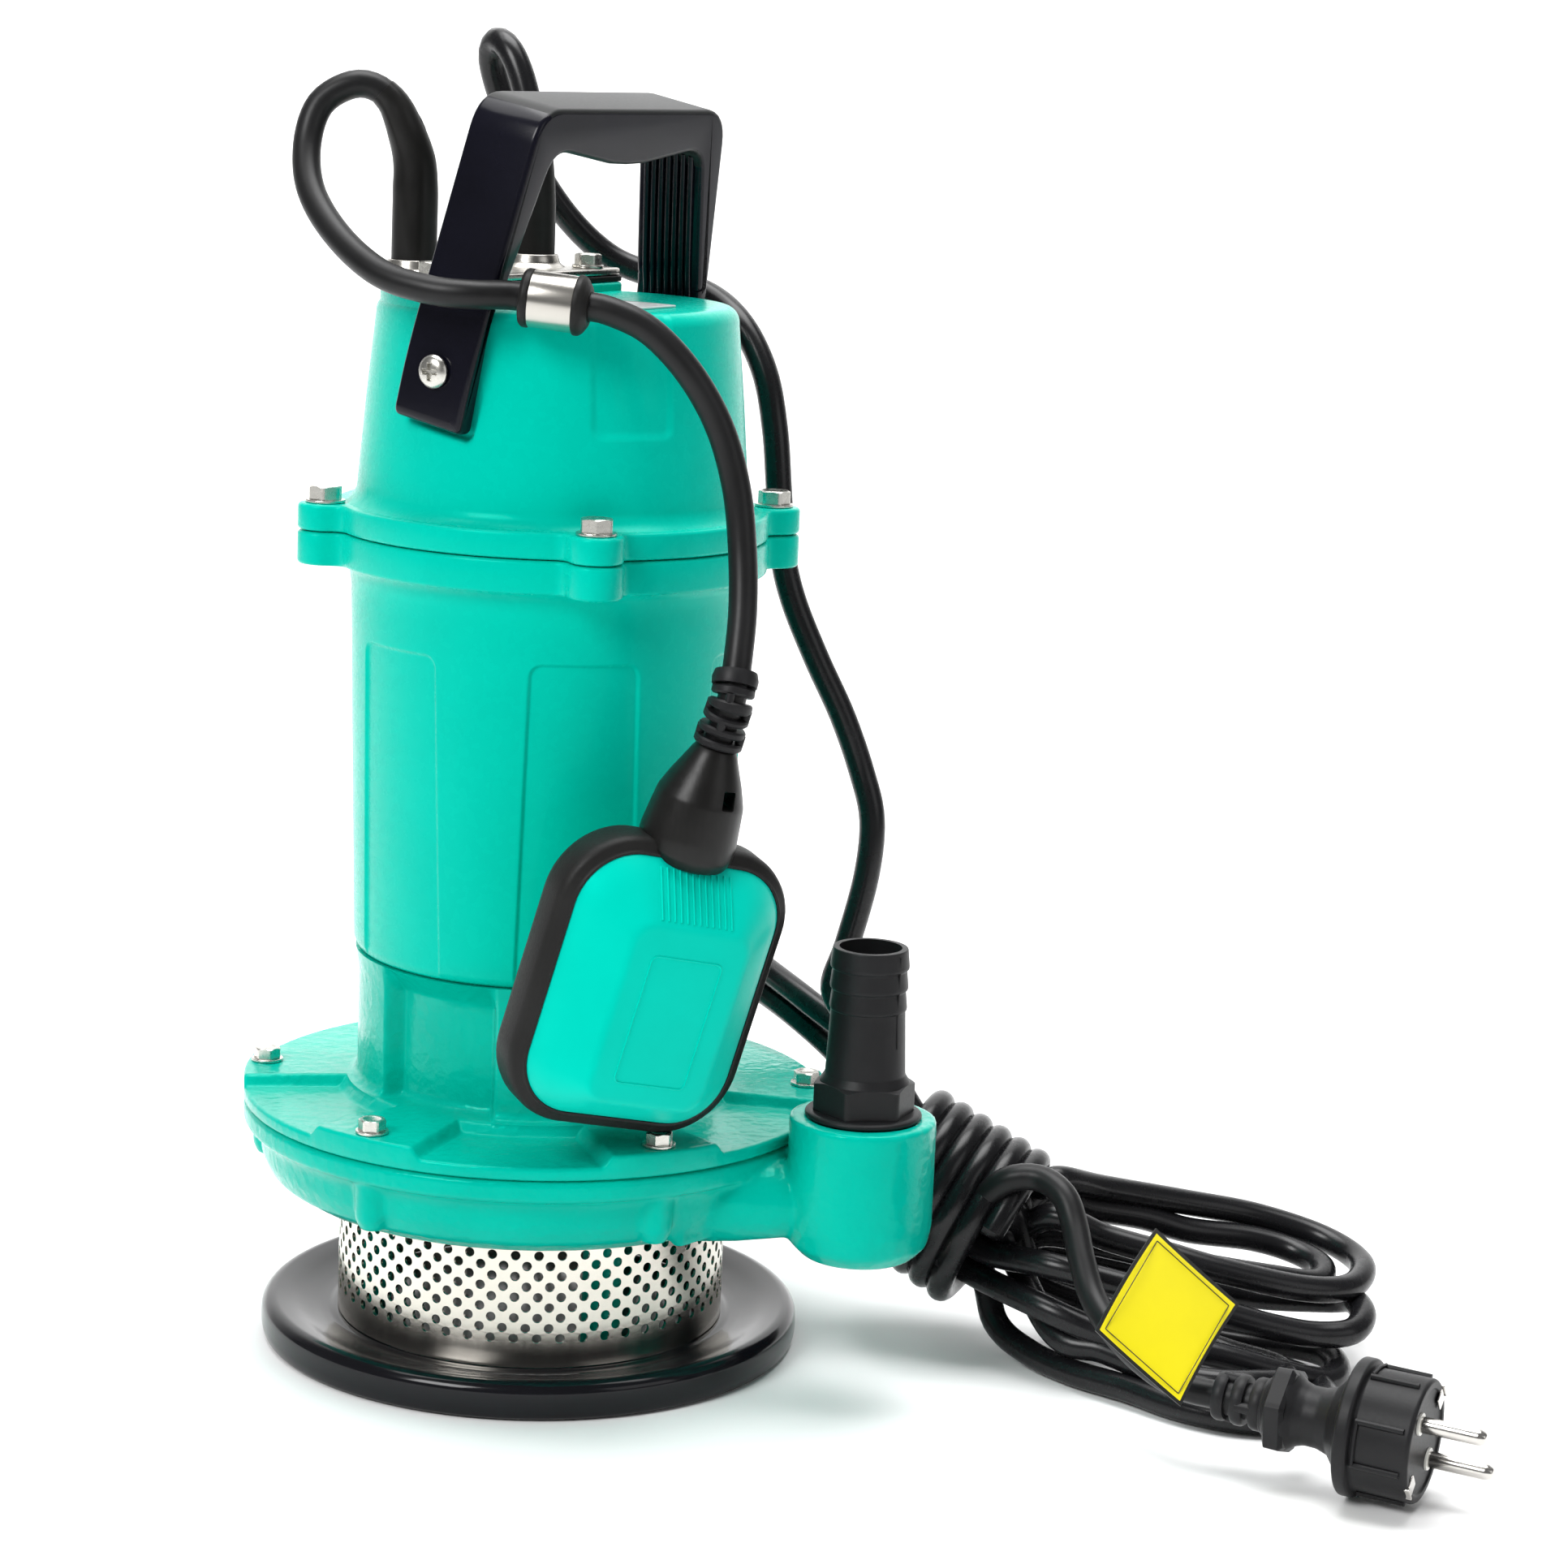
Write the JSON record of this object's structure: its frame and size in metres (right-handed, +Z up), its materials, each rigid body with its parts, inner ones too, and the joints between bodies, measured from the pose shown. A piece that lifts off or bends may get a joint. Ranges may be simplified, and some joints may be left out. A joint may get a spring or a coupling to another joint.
{
  "type": "submersible sump pump",
  "caption": "Upright submersible sump pump with a carrying handle, a hanging float switch, a strainer base, an upright hose connector and a coiled power cable with its plug.",
  "frame": {"origin": "centre of the base plate's underside, on the floor", "axes": "+Z up along the motor's shaft, +X along the discharge duct, -Y the front, where the float hangs"},
  "size_m": [0.3779, 0.226, 0.4051],
  "materials": {
    "green_enamel": "gloss teal-green enamel on smooth aluminium castings",
    "green_casting": "gloss teal-green enamel over a slightly rough iron casting",
    "green_plastic": "satin teal-green moulded plastic",
    "black_enamel": "high gloss black enamel",
    "gloss_black_plastic": "gloss black moulded plastic",
    "matte_black_plastic": "satin black moulded plastic",
    "black_rubber": "matte black rubber",
    "cable_sheath": "satin black cable sheath",
    "stainless_steel": "bright rolled stainless sheet",
    "zinc_plated_steel": "zinc plated fasteners",
    "nickel_pin": "nickel plated pins",
    "machined_steel": "turned and ground steel",
    "electrical_steel": "stacked laminations",
    "copper_winding": "varnished copper wire",
    "seal_ceramic": "lapped ceramic ring",
    "blank_plate": "blank silver-grey foil plate",
    "yellow_tag": "blank yellow plastic tag with a black border"
  },
  "bodies": {
    "pump": {"base_plate": "black_enamel", "bearing_bracket": "machined_steel", "cable_clamp_plate": "stainless_steel", "cable_tag": "yellow_tag", "cap_bolt_1": "zinc_plated_steel", "cap_bolt_2": "zinc_plated_steel", "cap_bolt_3": "zinc_plated_steel", "cap_bolt_4": "zinc_plated_steel", "cap_seal_ring": "black_rubber", "carry_handle": "gloss_black_plastic", "casing_seal_ring": "black_rubber", "clamp_plate_bolt_1": "zinc_plated_steel", "clamp_plate_bolt_2": "zinc_plated_steel", "clamp_plate_gasket": "black_rubber", "cover_bolt_1": "zinc_plated_steel", "cover_bolt_2": "zinc_plated_steel", "cover_bolt_3": "zinc_plated_steel", "cover_bolt_4": "zinc_plated_steel", "cover_bolt_5": "zinc_plated_steel", "cover_bolt_6": "zinc_plated_steel", "ferrule_strap": "zinc_plated_steel", "float_cable_bush": "black_rubber", "float_cable_ferrule": "stainless_steel", "float_cable_sleeve": "black_rubber", "float_cable_upper": "cable_sheath", "handle_screw_back": "zinc_plated_steel", "handle_screw_front": "zinc_plated_steel", "hose_connector": "matte_black_plastic", "lower_bearing": "machined_steel", "motor_housing": "green_enamel", "plug_body": "matte_black_plastic", "plug_pin_1": "nickel_pin", "plug_pin_2": "nickel_pin", "power_cable": "cable_sheath", "power_cable_sleeve": "black_rubber", "pump_cover": "green_casting", "rating_plate": "blank_plate", "shaft_seal_seat": "seal_ceramic", "start_capacitor": "matte_black_plastic", "stator_core": "electrical_steel", "stator_winding_lower": "copper_winding", "stator_winding_upper": "copper_winding", "strainer_screen": "stainless_steel", "top_cap": "green_enamel", "upper_bearing": "machined_steel", "volute_casing": "green_casting"},
    "rotor": {"rotor_shaft": "machined_steel", "rotor_core": "electrical_steel", "impeller": "matte_black_plastic", "impeller_nut": "machined_steel", "shaft_seal_head": "stainless_steel"},
    "float": {"float_shell_front": "green_plastic", "float_shell_back": "green_plastic", "float_band": "black_rubber", "float_boot": "black_rubber", "float_cable_lower": "cable_sheath", "float_microswitch": "matte_black_plastic", "float_ball_cage": "matte_black_plastic"},
    "ball": {"switch_ball": "machined_steel"}
  },
  "joints": [
    {"name": "rotor_spin", "type": "hinge", "parent": "pump", "child": "rotor", "pos_m": [0, 0, 0.15], "axis": [0, 0, 1], "continuous": true},
    {"name": "float_swing", "type": "hinge", "parent": "pump", "child": "float", "pos_m": [0.018, -0.0664, 0.328], "axis": [-0.891, -0.454, 0], "range_deg": [0, 110]},
    {"name": "switch_ball_roll", "type": "slide", "parent": "float", "child": "ball", "axis": [0.262, -0.03, 0.9646], "range_m": [0, 0.031]}
  ]
}
